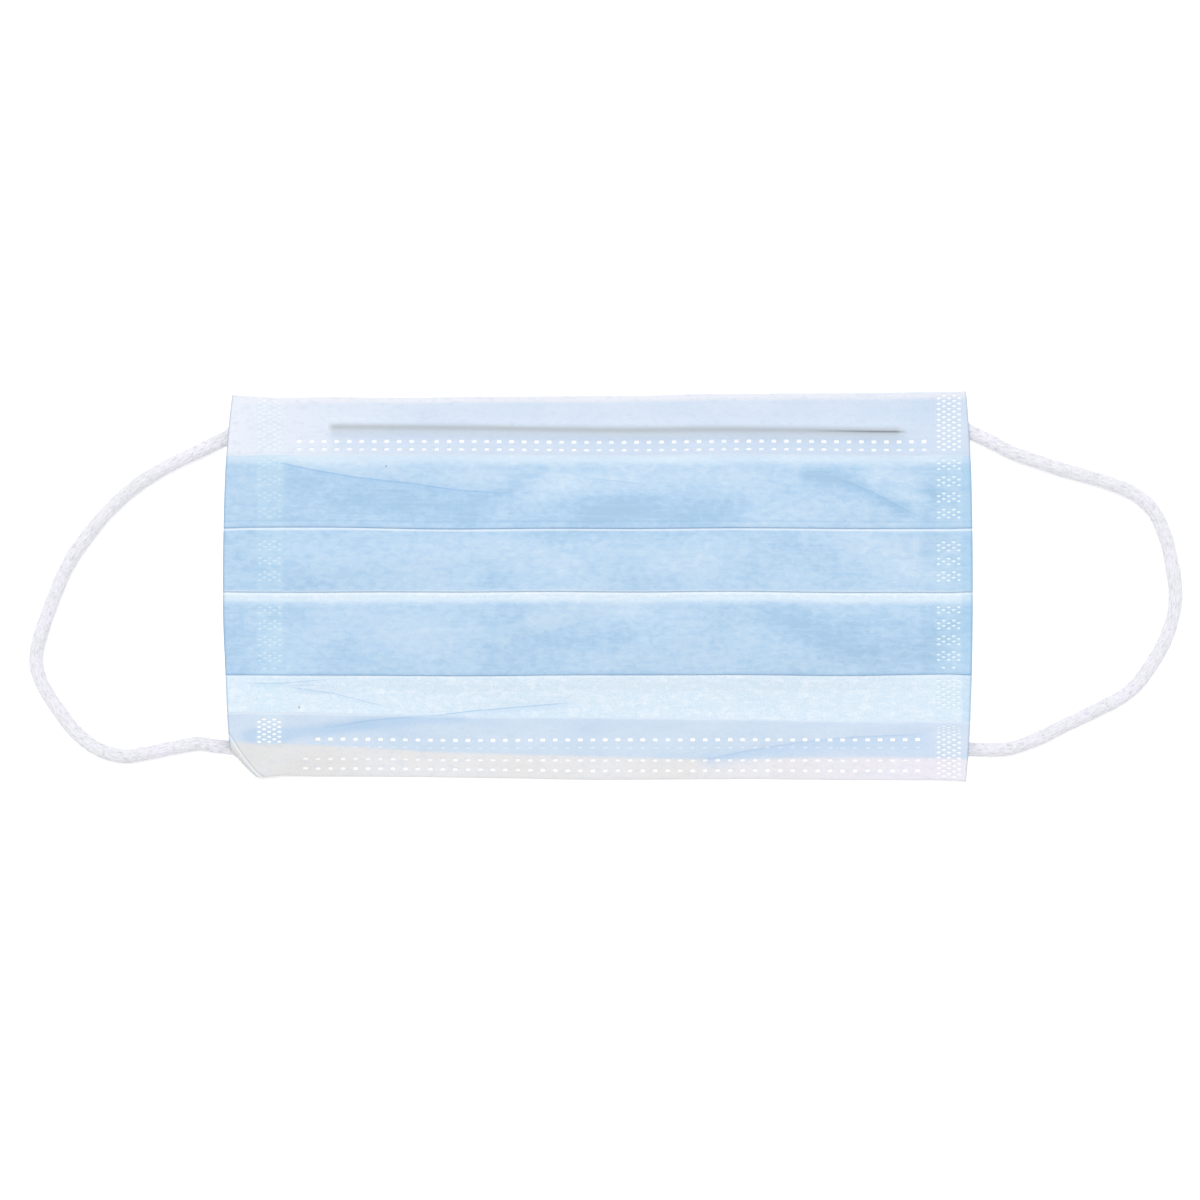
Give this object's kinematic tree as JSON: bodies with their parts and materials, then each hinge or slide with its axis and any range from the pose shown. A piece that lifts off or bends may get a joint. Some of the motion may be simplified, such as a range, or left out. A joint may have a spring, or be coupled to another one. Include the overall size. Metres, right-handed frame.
{
  "type": "surgical face mask",
  "caption": "Flat pleated face mask of blue non-woven cloth with white wrapped hems, a nose wire, welded side seals and round elastic ear loops, lying outer side up.",
  "frame": {"origin": "middle of the mask's outline on the surface that it lies on, ear loops not counted", "axes": "+X along the mask's width, towards the right of its outer face; +Y towards the nose edge; +Z out of the blue outer face"},
  "size_m": [0.2702, 0.0916, 0.0058],
  "materials": {
    "blue_cloth": "light blue spunbond polypropylene, matte with fine fibres",
    "white_cloth": "white spunbond polypropylene, matte and slightly see-through",
    "coated_wire": "thin flat wire in a pale plastic coat",
    "elastic": "white knitted elastic, soft and slightly hairy"
  },
  "bodies": {
    "root": {"pleated_panel": "blue_cloth", "top_hem": "white_cloth", "bottom_hem": "white_cloth", "nose_wire": "coated_wire", "loop_end_left_top": "elastic", "loop_end_left_bottom": "elastic", "loop_end_right_top": "elastic", "loop_end_right_bottom": "elastic", "ear_loop_left": "elastic", "ear_loop_right": "elastic"}
  },
  "joints": []
}
